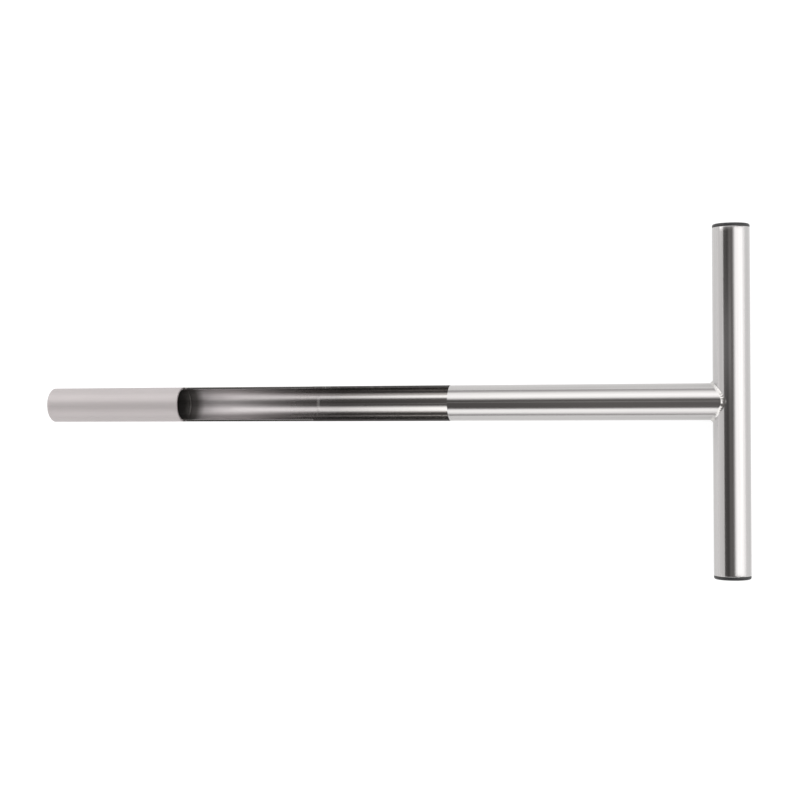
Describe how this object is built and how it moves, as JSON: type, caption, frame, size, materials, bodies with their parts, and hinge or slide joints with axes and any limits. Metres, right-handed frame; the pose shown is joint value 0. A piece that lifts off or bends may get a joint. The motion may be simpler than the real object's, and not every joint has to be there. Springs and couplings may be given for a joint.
{
  "type": "soil auger",
  "caption": "Hand-pushed half-round soil core sampler: bevelled tubular cutting head, open trough for the core, polished round shaft and a welded T-handle with plugged ends.",
  "frame": {"origin": "bottom centre of the bounding box, on the surface that the tubes rest on", "axes": "+X along the shaft from the cutting lip to the handle, Y along the handle, +Z out of the open side of the trough"},
  "size_m": [0.5116, 0.238, 0.025],
  "materials": {
    "head_steel": "matte blasted",
    "polished_steel": "longitudinally polished",
    "weld_steel": "bright weld",
    "plug_plastic": "moulded satin"
  },
  "bodies": {
    "root": {"cutting_head": "head_steel", "head_weld": "weld_steel", "trough_tube": "polished_steel", "trough_weld": "weld_steel", "shaft_tube": "polished_steel", "handle_tube": "polished_steel", "handle_weld": "weld_steel", "end_plug_left": "plug_plastic", "end_plug_right": "plug_plastic"}
  },
  "joints": []
}
